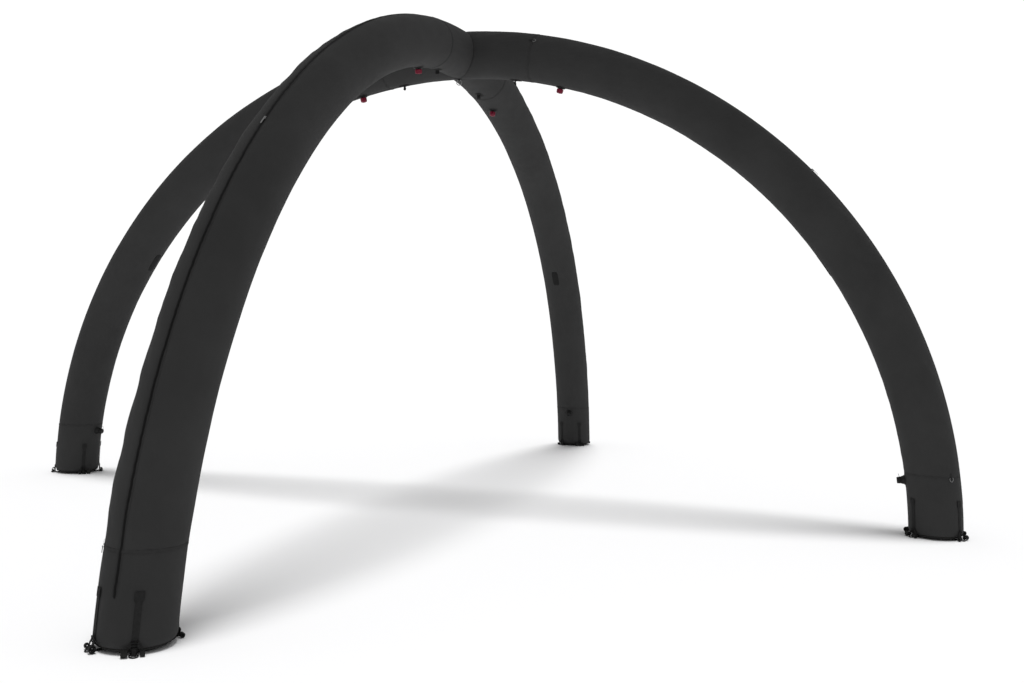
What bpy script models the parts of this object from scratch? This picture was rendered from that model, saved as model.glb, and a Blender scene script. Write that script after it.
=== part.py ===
"""Inflatable cross-arch tent frame: two air-filled arches that cross at a crown and stand on four feet.

Metres, +Z up. The origin is on the ground, straight below the crown. The four legs stand on the
diagonals of the footprint, and each leg is half of an arch: a tube swept along one circular arc.
"""

from math import asin, cos, pi, radians, sin, sqrt, tan

import bmesh
import bpy
from mathutils import Matrix, Vector

# ---- The frame ----
FOOTPRINT_SIDE = 6.0  # outside to outside of the feet, along X and along Y, at the nominal span
ARCH_SPREAD = 0.048  # one arch stands this share wider than nominal, the other this share narrower
CROWN_HEIGHT = 3.696  # centreline of both arches where they cross
TUBE_RADIUS = 0.190
SLEEVE_WALL = 0.003
BLADDER_RADIUS = 0.176
BLADDER_WALL = 0.0012
PORT_RADIUS = 0.020  # air port in the end wall of each bladder
GAP = 0.0004  # between pieces that touch

# ---- Stations along a leg ----
HUB_REACH = 0.66  # seam between hub and leg, measured along the arch from the crown
SHUTOFF_REACH = 0.93  # shut-off valve, measured the same way
ZIP_TOP_REACH = 0.78
SEAM_HEIGHT = 0.455  # seam between foot cup and leg sleeve
TURN_HEIGHT = 0.62  # above this, the tube's cross-sections stand square to the arch
ZIP_FOOT_HEIGHT = 0.256
INFLATION_HEIGHT = 0.40
SLIDER_RISE = 2.84  # zip slider at rest, measured along the arch from the ground

# ---- Foot ----
CUP_EDGE_RADIUS = 0.058
CUP_SIDE_HEIGHTS = (0.180, 0.318, SEAM_HEIGHT)
WEBBING_WIDTH = 0.030
WEBBING_THICKNESS = 0.0026
WEBBING_TOP = 0.285
WEBBING_BEND = 0.010
STRAP_DIRECTIONS = (35, 145, 215, 325)  # degrees from the leg's outward direction

# ---- Rings and the loops that hold them ----
LOOP_BORE = 0.0044
LOOP_RADIUS = 0.0068
LOOP_LENGTH = 0.018
LOOP_STAND_OFF = 0.0050  # loop axis from the face of the strap
RING_WIRE = 0.003
RING_WIDTH = 0.040
RING_LENGTH = 0.030
CROWN_RING_RADIUS = 0.022
CROWN_LOOP_LENGTH = 0.008
CROWN_LOOP_BORE = 0.0052
CROWN_LOOP_RADIUS = 0.0088

# ---- Zip ----
ZIP_WIDTH = 0.034
ZIP_THICKNESS = 0.002
SLIDER_BODY = (0.024, 0.014, 0.008)  # along the zip, across it, out from the tube
SLIDER_PULL = (0.044, 0.009, 0.0024)

# ---- Valves: (radius, height above the tube's surface) ----
INFLATION_PROFILE = (
    (0.028, -0.0360),
    (0.028, -0.0320),
    (0.022, -0.0320),
    (0.022, 0.0012),
    (0.038, 0.0012),
    (0.038, 0.0050),
    (0.034, 0.0070),
    (0.0265, 0.0300),
    (0.0180, 0.0300),
    (0.0180, 0.0460),
    (0.0130, 0.0460),
    (0.0130, 0.0340),
)
CAP_OUTSIDE = ((0.0245, 0.0304), (0.0250, 0.0330), (0.0225, 0.0560), (0.0190, 0.0590))
CAP_INSIDE = ((0.0196, 0.0500), (0.0196, 0.0304))  # its corners turn clear of the valve's neck
SHUTOFF_PROFILE = (
    (0.028, -0.0360),
    (0.028, -0.0320),
    (0.020, -0.0320),
    (0.020, 0.0012),
    (0.036, 0.0012),
    (0.036, 0.0050),
    (0.032, 0.0070),
    (0.019, 0.0090),
    (0.019, 0.0120),
)
KNOB_PROFILE = ((0.0215, 0.0126), (0.0260, 0.0150), (0.0240, 0.0400), (0.0190, 0.0460))
KNOB_LOBES = 6
KNOB_LOBE_DEPTH = 0.0022
VALVE_HOLE_CLEARANCE = 0.0005
VALVE_HOLE_DEPTH = 0.05
SHUTOFF_LIFT = 0.0026  # the sleeve's flat facets stand about this far inside the arc

# ---- Fineness of the meshes ----
TUBE_SIDES = 16
BLADDER_SIDES = 8
SLEEVE_STEPS = 14
BLADDER_STEPS = 10
HUB_STEPS = 3
HUB_FIRST_RING = 0.24  # reach of the hub's first full ring, past the crease
TURNED_SIDES = 12
KNOB_SIDES = 24
RING_CORNER_STEPS = 7
WIRE_SIDES = 6

UP = Vector((0, 0, 1))
NOMINAL_HALF_SPAN = (FOOTPRINT_SIDE / 2 - TUBE_RADIUS) * sqrt(2)
WIDE_HALF_SPAN = NOMINAL_HALF_SPAN * (1 + ARCH_SPREAD)
NARROW_HALF_SPAN = NOMINAL_HALF_SPAN * (1 - ARCH_SPREAD)


class Leg:
    """Half of an arch: an arc from the foot up to the crown, in the upright plane through direction."""

    def __init__(self, name, azimuth, half_span):
        self.name = name
        self.out = Vector((cos(radians(azimuth)), sin(radians(azimuth)), 0))
        self.side = UP.cross(self.out)
        self.radius = (half_span**2 + CROWN_HEIGHT**2) / (2 * CROWN_HEIGHT)
        self.centre_height = CROWN_HEIGHT - self.radius

    def at_height(self, height):
        """The arc's angle above the horizontal where its centreline is at this height."""
        return asin((height - self.centre_height) / self.radius)

    def from_crown(self, reach):
        return pi / 2 - reach / self.radius

    def from_ground(self, rise):
        return self.at_height(0) + rise / self.radius

    def centre(self, angle):
        flat = self.out * (self.radius * cos(angle))
        return flat + UP * (self.centre_height + self.radius * sin(angle))

    def square(self, angle):
        """Away from the arch's centre, square to the arc."""
        return self.out * cos(angle) + UP * sin(angle)

    def normal(self, angle):
        """The outward direction of a cross-section: level in the foot, square above TURN_HEIGHT."""
        height = self.centre(angle).z
        turned = min(max((height - SEAM_HEIGHT) / (TURN_HEIGHT - SEAM_HEIGHT), 0), 1)
        return self.square(angle * turned)

    def point(self, angle, round_degrees, radius):
        """A point at radius from the centreline. 0 degrees is the outer ridge, 180 the inner one."""
        turn = radians(round_degrees)
        return self.centre(angle) + radius * (cos(turn) * self.normal(angle) + sin(turn) * self.side)

    def ring(self, angle, radius, sides):
        return [self.point(angle, 360 * i / sides, radius) for i in range(sides)]


LEGS = (
    Leg("front_left", 225, WIDE_HALF_SPAN),
    Leg("front_right", 315, NARROW_HALF_SPAN),
    Leg("back_right", 45, WIDE_HALF_SPAN),
    Leg("back_left", 135, NARROW_HALF_SPAN),
)


# ---- Tools ----


def clear_scene():
    for obj in list(bpy.data.objects):
        bpy.data.objects.remove(obj, do_unlink=True)


def material(name, colour, roughness, metallic=0.0):
    made = bpy.data.materials.new(name)
    made.use_nodes = True
    shader = made.node_tree.nodes["Principled BSDF"]
    shader.inputs["Base Color"].default_value = (*colour, 1.0)
    shader.inputs["Roughness"].default_value = roughness
    shader.inputs["Metallic"].default_value = metallic
    return made


def add_object(name, mesh_data, surface, pivot=Vector((0, 0, 0))):
    """Turns a bmesh in world places into an object with its origin at pivot."""
    bmesh.ops.recalc_face_normals(mesh_data, faces=mesh_data.faces)
    bmesh.ops.translate(mesh_data, verts=mesh_data.verts, vec=-pivot)
    mesh = bpy.data.meshes.new(name)
    mesh_data.to_mesh(mesh)
    mesh_data.free()
    mesh.materials.append(surface)
    mesh.shade_smooth()
    mesh.set_sharp_from_angle(angle=radians(35))
    obj = bpy.data.objects.new(name, mesh)
    obj.location = pivot
    bpy.context.collection.objects.link(obj)
    return obj


def skin(rings, endless=False):
    """A bmesh over a row of rings with equally many points. Endless joins the last ring to the first."""
    made = bmesh.new()
    rows = [[made.verts.new(point) for point in ring] for ring in rings]
    pairs = list(zip(rows, rows[1:]))
    if endless:
        pairs.append((rows[-1], rows[0]))
    else:
        made.faces.new(rows[0])
        made.faces.new(rows[-1])
    for first, second in pairs:
        count = len(first)
        for i in range(count):
            j = (i + 1) % count
            made.faces.new((first[i], first[j], second[j], second[i]))
    return made


def spaced(first, last, steps):
    return [first + (last - first) * i / steps for i in range(steps + 1)]


def frame_matrix(place, forward, outward):
    """Local X along forward and local Z along outward, with its origin at place."""
    z_axis = outward.normalized()
    y_axis = z_axis.cross(forward).normalized()
    x_axis = y_axis.cross(z_axis)
    turned = Matrix((x_axis, y_axis, z_axis)).transposed()
    return Matrix.Translation(place) @ turned.to_4x4()


def turned_rings(profile, sides, lobes=0, lobe_depth=0.0):
    """Rings about local Z through the profile's (radius, height) points."""
    rings = []
    for radius, height in profile:
        ring = []
        for i in range(sides):
            turn = 2 * pi * i / sides
            reach = radius + lobe_depth * cos(lobes * turn) if lobes else radius
            ring.append(Vector((reach * cos(turn), reach * sin(turn), height)))
        rings.append(ring)
    return rings


def moved(rings, matrix):
    return [[matrix @ point for point in ring] for ring in rings]


def cutter(name, mesh_data):
    made = add_object(name, mesh_data, SURFACES["webbing"])
    made.hide_render = True
    made.display_type = "WIRE"
    return made


def combine(obj, other, operation):
    step = obj.modifiers.new(other.name, "BOOLEAN")
    step.operation = operation
    step.object = other


def hollow_rod(middle, axis, bore, radius, length, sides=8):
    """A short pipe, closed as a solid."""
    start = middle - axis * (length / 2)
    matrix = frame_matrix(start, axis.orthogonal(), axis)
    profile = ((bore, 0), (radius, 0), (radius, length), (bore, length))
    return skin(moved(turned_rings(profile, sides), matrix), endless=True)


def wire(path, sideways, radius, sides):
    """A closed loop of round wire along a flat path. Sideways is square to the path's plane."""
    rings = []
    count = len(path)
    for i, point in enumerate(path):
        along = (path[(i + 1) % count] - path[i - 1]).normalized()
        across = along.cross(sideways)
        ring = []
        for k in range(sides):
            turn = 2 * pi * k / sides
            ring.append(point + radius * (cos(turn) * across + sin(turn) * sideways))
        rings.append(ring)
    return skin(rings, endless=True)


# ---- Tubes ----


def leg_sleeve(leg):
    """The fabric tube from the seam above the foot to the seam at the hub, open at both ends."""
    low = leg.at_height(SEAM_HEIGHT + GAP)
    high = leg.from_crown(HUB_REACH + GAP)
    outer = [leg.ring(a, TUBE_RADIUS, TUBE_SIDES) for a in spaced(low, high, SLEEVE_STEPS)]
    inner = [leg.ring(a, TUBE_RADIUS - SLEEVE_WALL, TUBE_SIDES) for a in spaced(high, low, SLEEVE_STEPS)]
    sleeve = add_object(leg.name + "_sleeve", skin(outer + inner, endless=True), SURFACES["fabric"])
    hole = valve_hole(leg, shutoff_frame(leg), SHUTOFF_PROFILE)
    combine(sleeve, hole, "DIFFERENCE")
    return sleeve


def cup_rings(leg, radius, floor, edge_radius):
    """Level rings from the floor's flat disc, round its edge and up the side."""
    rings = []
    for turn in spaced(-pi / 2, 0, 3):
        height = floor + edge_radius * (1 + sin(turn))
        reach = radius - edge_radius * (1 - cos(turn))
        rings.append(leg.ring(leg.at_height(height), reach, TUBE_SIDES))
    for height in CUP_SIDE_HEIGHTS:
        rings.append(leg.ring(leg.at_height(height), radius, TUBE_SIDES))
    return rings


def foot_cup(leg):
    """The coated cup that closes the lower end of the leg."""
    floor = WEBBING_THICKNESS + GAP
    outer = cup_rings(leg, TUBE_RADIUS, floor, CUP_EDGE_RADIUS)
    inner = cup_rings(
        leg, TUBE_RADIUS - SLEEVE_WALL, floor + SLEEVE_WALL, CUP_EDGE_RADIUS - SLEEVE_WALL
    )
    cup = add_object(leg.name + "_foot_cup", skin(outer + inner[::-1]), SURFACES["coated"])
    hole = valve_hole(leg, inflation_frame(leg), INFLATION_PROFILE)
    combine(cup, hole, "DIFFERENCE")
    return cup


def bladder_rings(leg, radius, floor, low, high):
    shrunk = radius - CUP_EDGE_RADIUS
    rings = [leg.ring(leg.at_height(floor), shrunk, BLADDER_SIDES)]
    rings += [leg.ring(a, radius, BLADDER_SIDES) for a in spaced(low, high, BLADDER_STEPS)]
    return rings


def leg_bladder(leg):
    """The airtight liner of one leg. A port in its upper end leads to the hub's liner."""
    floor = WEBBING_THICKNESS + SLEEVE_WALL + 0.008
    low = leg.at_height(floor + CUP_EDGE_RADIUS)
    high = leg.from_crown(HUB_REACH + 0.012)
    outer = bladder_rings(leg, BLADDER_RADIUS, floor, low, high)
    inner = bladder_rings(
        leg,
        BLADDER_RADIUS - BLADDER_WALL,
        floor + BLADDER_WALL,
        low,
        high - BLADDER_WALL / leg.radius,
    )
    port_outer = leg.ring(high, PORT_RADIUS, BLADDER_SIDES)
    port_inner = leg.ring(high - BLADDER_WALL / leg.radius, PORT_RADIUS, BLADDER_SIDES)
    rings = outer + [port_outer, port_inner] + inner[::-1]
    bladder = add_object(leg.name + "_bladder", skin(rings), SURFACES["bladder"])
    for hole in (
        valve_hole(leg, inflation_frame(leg), INFLATION_PROFILE),
        valve_hole(leg, shutoff_frame(leg), SHUTOFF_PROFILE),
    ):
        combine(bladder, hole, "DIFFERENCE")
    return bladder


def hub_middle(leg, radius, sides):
    """The crease where this leg's arm of the hub meets its two neighbours: four arms share its points."""
    mean_radius = (LEGS[0].radius + LEGS[1].radius) / 2
    ring = []
    for i in range(sides):
        turn = 2 * pi * i / sides
        across = radius * sin(turn)
        reach = abs(across)
        height = CROWN_HEIGHT + radius * cos(turn) - reach**2 / (2 * mean_radius)
        ring.append(leg.out * reach + leg.side * across + UP * height)
    return ring


def hub_arm(leg, reach, radius, sides):
    """Rings of one arm of the hub from its crease at the crown out to its end."""
    rings = [hub_middle(leg, radius, sides)]
    for distance in spaced(HUB_FIRST_RING, reach, HUB_STEPS - 1):
        rings.append(leg.ring(leg.from_crown(distance), radius, sides))
    return rings


def hub_skin(reach, radius, wall, sides, end_wall=False):
    """A four-armed shell as one bmesh, open at its ends, or closed there but for a port in each."""
    made = bmesh.new()
    for leg in LEGS:
        outer = hub_arm(leg, reach, radius, sides)
        inner = hub_arm(leg, reach - wall if end_wall else reach, radius - wall, sides)
        if end_wall:
            outer.append(leg.ring(leg.from_crown(reach), PORT_RADIUS, sides))
            inner.append(leg.ring(leg.from_crown(reach - wall), PORT_RADIUS, sides))
        rows = [[made.verts.new(point) for point in ring] for ring in outer + inner[::-1]]
        for first, second in zip(rows, rows[1:]):
            for i in range(sides):
                j = (i + 1) % sides
                made.faces.new((first[i], first[j], second[j], second[i]))
    bmesh.ops.remove_doubles(made, verts=made.verts, dist=0.0001)
    return made


def hub_sleeve():
    """The four-way cover at the crown, open at its four ends, with a loop below for the crown ring."""
    shell = hub_skin(HUB_REACH, TUBE_RADIUS, SLEEVE_WALL, TUBE_SIDES)
    hub = add_object("hub_sleeve", shell, SURFACES["fabric"])
    axis = LEGS[0].side
    loop = hollow_rod(CROWN_LOOP, axis, CROWN_LOOP_BORE, CROWN_LOOP_RADIUS, CROWN_LOOP_LENGTH)
    combine(hub, cutter("crown_loop", loop), "UNION")
    return hub


def hub_bladder():
    """The airtight liner of the hub, with a port in each of its four ends."""
    shell = hub_skin(HUB_REACH - 0.012, BLADDER_RADIUS, BLADDER_WALL, BLADDER_SIDES, end_wall=True)
    return add_object("hub_bladder", shell, SURFACES["bladder"])


# ---- Valves ----


def inflation_frame(leg):
    """Local Z points from the tube's surface towards the arch's centre, low on the leg."""
    angle = leg.at_height(INFLATION_HEIGHT)
    return frame_matrix(leg.point(angle, 180, TUBE_RADIUS), leg.side, -leg.square(angle))


def shutoff_frame(leg):
    angle = leg.from_crown(SHUTOFF_REACH)
    place = leg.point(angle, 180, TUBE_RADIUS + SHUTOFF_LIFT)
    return frame_matrix(place, leg.side, -leg.square(angle))


def valve_hole(leg, frame, profile):
    """A cutter for the hole that a valve's stem passes through."""
    stem = profile[2][0] + VALVE_HOLE_CLEARANCE
    rings = turned_rings(((stem, -VALVE_HOLE_DEPTH), (stem, VALVE_HOLE_DEPTH)), TURNED_SIDES)
    return cutter(leg.name + "_hole", skin(moved(rings, frame)))


def inflation_valve(leg):
    rings = moved(turned_rings(INFLATION_PROFILE, TURNED_SIDES), inflation_frame(leg))
    return add_object(leg.name + "_inflation_valve", skin(rings), SURFACES["black_plastic"])


def valve_cap(leg):
    frame = inflation_frame(leg)
    rings = moved(turned_rings(CAP_INSIDE + CAP_OUTSIDE, TURNED_SIDES), frame)
    return add_object(
        leg.name + "_valve_cap", skin(rings), SURFACES["black_plastic"], frame.to_translation()
    )


def shutoff_valve(leg):
    rings = moved(turned_rings(SHUTOFF_PROFILE, TURNED_SIDES), shutoff_frame(leg))
    return add_object(leg.name + "_shutoff_valve", skin(rings), SURFACES["black_plastic"])


def shutoff_knob(leg):
    """The knob that turns a shut-off valve, with shallow grip lobes."""
    frame = shutoff_frame(leg)
    rings = moved(turned_rings(KNOB_PROFILE, KNOB_SIDES, KNOB_LOBES, KNOB_LOBE_DEPTH), frame)
    return add_object(
        leg.name + "_shutoff_knob", skin(rings), SURFACES["red_plastic"], frame.to_translation()
    )


# ---- Zip ----


def zip_strip(leg):
    """The zip's tape and teeth as one band along the outer ridge."""
    seam = leg.at_height(SEAM_HEIGHT + GAP)
    hub = leg.from_crown(HUB_REACH + GAP)
    angles = [leg.at_height(height) for height in (ZIP_FOOT_HEIGHT, *CUP_SIDE_HEIGHTS[1:])]
    angles += [a for a in spaced(seam, hub, SLEEVE_STEPS) if a < leg.from_crown(ZIP_TOP_REACH)]
    angles.append(leg.from_crown(ZIP_TOP_REACH))
    half = 180 / pi * ZIP_WIDTH / 2 / TUBE_RADIUS
    under = TUBE_RADIUS + GAP
    over = under + ZIP_THICKNESS
    rings = []
    for angle in angles:
        lower = [leg.point(angle, turn, under) for turn in (-half, 0, half)]
        upper = [leg.point(angle, turn, over) for turn in (half, 0, -half)]
        rings.append(lower + upper)
    return add_object(leg.name + "_zip", skin(rings), SURFACES["zip"])


def block(frame, low, high):
    """A closed box between two corners in a frame."""
    outline = ((low.x, low.y), (high.x, low.y), (high.x, high.y), (low.x, high.y))
    rings = [[frame @ Vector((x, y, z)) for x, y in outline] for z in (low.z, high.z)]
    return skin(rings)


def zip_slider(leg):
    """The slider's body with its pull hanging down the zip. It turns about the arch's centre."""
    angle = leg.from_ground(SLIDER_RISE)
    base = leg.point(angle, 0, TUBE_RADIUS + GAP + ZIP_THICKNESS + 0.0008)
    down = leg.out * sin(angle) - UP * cos(angle)
    frame = frame_matrix(base, down, leg.normal(angle))
    length, width, height = SLIDER_BODY
    pull_length, pull_width, pull_height = SLIDER_PULL
    body = block(frame, Vector((-length / 2, -width / 2, 0)), Vector((length / 2, width / 2, height)))
    centre = Vector((0, 0, leg.centre_height))
    slider = add_object(leg.name + "_zip_slider", body, SURFACES["zip_metal"], centre)
    low = Vector((length / 2 - 0.006, -pull_width / 2, height - 0.004))
    high = Vector((length / 2 + pull_length, pull_width / 2, height - 0.004 + pull_height))
    combine(slider, cutter(leg.name + "_pull", block(frame, low, high)), "UNION")
    edge = slider.modifiers.new("edges", "BEVEL")
    edge.width = 0.0008
    edge.segments = 1
    return slider


# ---- Foot webbing and ground rings ----


def strap_stations():
    """(distance, height) pairs of a strap's inner and outer face, from the foot's edge up its side."""
    face = TUBE_RADIUS + 2 * GAP
    stations = []
    bend_centre = (face - WEBBING_BEND, WEBBING_THICKNESS + WEBBING_BEND)
    for turn in spaced(-pi / 2, 0, 2):
        inner = (bend_centre[0] + WEBBING_BEND * cos(turn), bend_centre[1] + WEBBING_BEND * sin(turn))
        outer_radius = WEBBING_BEND + WEBBING_THICKNESS
        outer = (bend_centre[0] + outer_radius * cos(turn), bend_centre[1] + outer_radius * sin(turn))
        stations.append((inner, outer))
    for height in spaced(bend_centre[1], WEBBING_TOP, 3)[1:]:
        stations.append(((face, height), (face + WEBBING_THICKNESS, height)))
    return stations


def strap_place(leg, turn_degrees, distance, height):
    """A point straight out from the leg's centreline at this height."""
    turn = radians(turn_degrees)
    outward = cos(turn) * leg.out + sin(turn) * leg.side
    return leg.centre(leg.at_height(height)) + outward * distance


def crossing_reach(turn, neighbour):
    """How far from the foot's middle the edges of two neighbouring straps meet."""
    apart = abs(neighbour - turn)
    apart = min(apart, 360 - apart)
    return WEBBING_WIDTH / 2 / tan(radians(apart / 2))


def foot_webbing(leg):
    """Two straps that cross below the foot and run up its sides, with a loop at each lower corner."""
    made = bmesh.new()
    half = WEBBING_WIDTH / 2
    arms = {}
    for number, turn in enumerate(STRAP_DIRECTIONS):
        across = UP.cross(cos(radians(turn)) * leg.out + sin(radians(turn)) * leg.side)
        before = crossing_reach(turn, STRAP_DIRECTIONS[number - 1])
        after = crossing_reach(turn, STRAP_DIRECTIONS[(number + 1) % 4])
        start = (
            strap_place(leg, turn, before, WEBBING_THICKNESS) - across * half,
            strap_place(leg, turn, after, WEBBING_THICKNESS) + across * half,
            strap_place(leg, turn, after, 0) + across * half,
            strap_place(leg, turn, before, 0) - across * half,
        )
        rows = [[made.verts.new(corner) for corner in start]]
        for inner, outer in strap_stations():
            inner_point = strap_place(leg, turn, *inner)
            outer_point = strap_place(leg, turn, *outer)
            corners = (
                inner_point - across * half,
                inner_point + across * half,
                outer_point + across * half,
                outer_point - across * half,
            )
            rows.append([made.verts.new(corner) for corner in corners])
        for first, second in zip(rows, rows[1:]):
            for i in range(4):
                j = (i + 1) % 4
                made.faces.new((first[i], first[j], second[j], second[i]))
        made.faces.new(rows[-1])
        arms[turn] = rows[0]
    made.faces.new([arms[turn][0] for turn in STRAP_DIRECTIONS])
    made.faces.new([arms[turn][3] for turn in STRAP_DIRECTIONS])
    bmesh.ops.remove_doubles(made, verts=made.verts, dist=0.0001)
    webbing = add_object(leg.name + "_foot_webbing", made, SURFACES["webbing"])
    for number, turn in enumerate(STRAP_DIRECTIONS, 1):
        middle, axis, _ = ring_pivot(leg, turn)
        loop = hollow_rod(middle, axis, LOOP_BORE, LOOP_RADIUS, LOOP_LENGTH)
        combine(webbing, cutter(f"{leg.name}_loop_{number}", loop), "UNION")
    return webbing


def ring_pivot(leg, turn_degrees):
    """(middle, axis, outward direction) of the loop at a strap's lower corner."""
    height = LOOP_RADIUS + GAP
    turn = radians(turn_degrees)
    outward = cos(turn) * leg.out + sin(turn) * leg.side
    # The strap bends inwards at its lower end, so the loop follows its face there.
    bend_centre = TUBE_RADIUS + 2 * GAP - WEBBING_BEND
    drop = WEBBING_THICKNESS + WEBBING_BEND - height
    reach = WEBBING_BEND + WEBBING_THICKNESS + LOOP_STAND_OFF
    distance = bend_centre + sqrt(reach**2 - drop**2)
    return strap_place(leg, turn_degrees, distance, height), outward.cross(UP), outward


def ring_outline(width, length):
    """(outward, sideways) points of a ring with one straight side, along which it hangs in its loop."""
    half = width / 2
    outline = [(0, -half * 0.72), (0, half * 0.72)]
    for turn in spaced(-pi / 2, pi / 2, RING_CORNER_STEPS):
        bulge = cos(turn)
        outline.append((length * (0.14 + 0.86 * bulge), -half * sin(turn)))
    return outline


def ground_ring(leg, number, turn_degrees):
    """A ring that lies on the ground, hung in the loop at a strap's lower corner."""
    middle, axis, outward = ring_pivot(leg, turn_degrees)
    sink = asin((middle.z - RING_WIRE - GAP) / RING_LENGTH)
    lying = outward * cos(sink) - UP * sin(sink)
    path = [middle + lying * x + axis * y for x, y in ring_outline(RING_WIDTH, RING_LENGTH)]
    square = axis.cross(lying).normalized()
    ring = wire(path, square, RING_WIRE, WIRE_SIDES)
    return add_object(f"{leg.name}_ground_ring_{number}", ring, SURFACES["black_metal"], middle)


def crown_ring():
    """A round ring that hangs in the loop below the crown."""
    axis = LEGS[0].side
    across = LEGS[0].out
    centre = CROWN_LOOP - UP * CROWN_RING_RADIUS
    path = []
    for i in range(12):
        turn = 2 * pi * i / 12
        path.append(centre + CROWN_RING_RADIUS * (cos(turn) * UP + sin(turn) * axis))
    return add_object(
        "crown_ring", wire(path, across, RING_WIRE, WIRE_SIDES), SURFACES["zip_metal"], CROWN_LOOP
    )


CROWN_LOOP = Vector((0, 0, CROWN_HEIGHT - TUBE_RADIUS - 0.0070))

clear_scene()
SURFACES = {
    "fabric": material("black_polyester", (0.030, 0.030, 0.031), 0.72),
    "coated": material("coated_fabric", (0.026, 0.026, 0.027), 0.55),
    "bladder": material("clear_liner", (0.55, 0.57, 0.58), 0.35),
    "webbing": material("webbing", (0.012, 0.012, 0.012), 0.80),
    "zip": material("zip_tape", (0.008, 0.008, 0.008), 0.60),
    "zip_metal": material("zip_metal", (0.50, 0.50, 0.50), 0.35, 1.0),
    "black_metal": material("black_metal", (0.015, 0.015, 0.015), 0.45),
    "black_plastic": material("black_plastic", (0.010, 0.010, 0.010), 0.40),
    "red_plastic": material("red_plastic", (0.52, 0.012, 0.080), 0.38),
}

hub_sleeve()
hub_bladder()
crown_ring()
for each_leg in LEGS:
    leg_sleeve(each_leg)
    leg_bladder(each_leg)
    foot_cup(each_leg)
    zip_strip(each_leg)
    zip_slider(each_leg)
    inflation_valve(each_leg)
    valve_cap(each_leg)
    shutoff_valve(each_leg)
    shutoff_knob(each_leg)
    foot_webbing(each_leg)
    for ring_number, ring_turn in enumerate(STRAP_DIRECTIONS, 1):
        ground_ring(each_leg, ring_number, ring_turn)
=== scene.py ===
"""Looks for the inflatable cross-arch tent frame: cloth, zips, seams, straps, valves, floor and light.

Metres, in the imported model's own frame: the origin is on the ground under the crown, and +Z is up.
"""

from math import asin, cos, exp, pi, radians, sin, sqrt

import bmesh
import bpy
from mathutils import Matrix, Vector, noise


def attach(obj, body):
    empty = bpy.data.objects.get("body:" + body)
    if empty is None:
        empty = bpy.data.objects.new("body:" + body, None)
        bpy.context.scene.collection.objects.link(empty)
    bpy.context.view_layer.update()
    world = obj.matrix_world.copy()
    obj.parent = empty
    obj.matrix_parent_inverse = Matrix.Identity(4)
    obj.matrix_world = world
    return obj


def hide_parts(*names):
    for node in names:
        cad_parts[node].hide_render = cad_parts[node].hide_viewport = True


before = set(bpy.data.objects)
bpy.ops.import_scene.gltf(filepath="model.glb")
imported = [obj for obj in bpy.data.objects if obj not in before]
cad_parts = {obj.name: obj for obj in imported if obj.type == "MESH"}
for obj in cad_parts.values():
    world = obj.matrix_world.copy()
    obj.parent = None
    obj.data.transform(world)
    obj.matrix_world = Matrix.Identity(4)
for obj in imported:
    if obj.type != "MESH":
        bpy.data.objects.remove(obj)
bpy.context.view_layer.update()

# ---- The CAD model's own dimensions ----
NOMINAL_HALF_SPAN = 2.81 * sqrt(2)
ARCH_SPREAD = 0.048
CROWN_HEIGHT = 3.696
TUBE_RADIUS = 0.190
HUB_REACH = 0.66
SHUTOFF_REACH = 0.93
SHUTOFF_LIFT = 0.0026
ZIP_TOP_REACH = 0.78
CANOPY_REACH = 0.52
SEAM_HEIGHT = 0.455
TURN_HEIGHT = 0.62
ZIP_FOOT_HEIGHT = 0.256
INFLATION_HEIGHT = 0.40
SLIDER_RISE = 2.84
CUP_EDGE_RADIUS = 0.058
CUP_FLOOR = 0.0030
WEBBING_TOP = 0.285
STRAP_DIRECTIONS = (35, 145, 215, 325)
RING_AXIS_DISTANCE = 0.19755
RING_AXIS_HEIGHT = 0.0072
RING_WIRE = 0.003
RING_WIDTH = 0.040
RING_LENGTH = 0.030
CROWN_LOOP = Vector((0, 0, CROWN_HEIGHT - TUBE_RADIUS - 0.0070))
CROWN_RING_RADIUS = 0.022

# ---- Sewn and moulded detail ----
# How far a cloth's edge is tucked in under a seam.
TUCK = 0.008
SEAM_HALF_WIDTH = 0.0085
SEAM_STITCH_OFFSET = 0.0055
SEAM_STITCHES = 240
TOOTH_PITCH = 0.0034
TOOTH_LENGTH = 0.0112
ZIP_STITCH_PITCH = 0.0075
ZIP_STITCH_OFFSET = 0.0130
STRAP_WIDTH = 0.030
STRAP_PATCH_WIDTH = 0.044
KEEPER_WIDTH = 0.019
# A rolled strap end: its radius and its width.
LARGE_ROLL = (0.0195, 0.030)
SMALL_ROLL = (0.0145, 0.022)
# From the strap's middle to a roll's near edge.
ROLL_CLEARANCE = 0.0265

# ---- Fineness ----
AROUND = 72
ALONG_STEP = 0.011
TAPE_STEP = 0.02

# ---- Camera and studio ----
CAMERA_PLACE = (-3.6867, -8.1230, 1.5775)
CAMERA_AZIMUTH = 62.51
CAMERA_PITCH = -0.0272
CAMERA_ROLL = 0.0189
CAMERA_LENS = 37.49
FLOOR_RADIUS = 60
FLOOR_SIDES = 96
WORLD_LIGHT = 0.40
WORLD_SEEN = 1.05
# Each sun: its name, strength and spread in degrees, and whether it lights only the floor.
SUNS = (("key", 2.25, 21, "INCLUDE"), ("dome", 0.60, 170, "EXCLUDE"))

UP = Vector((0, 0, 1))


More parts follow.
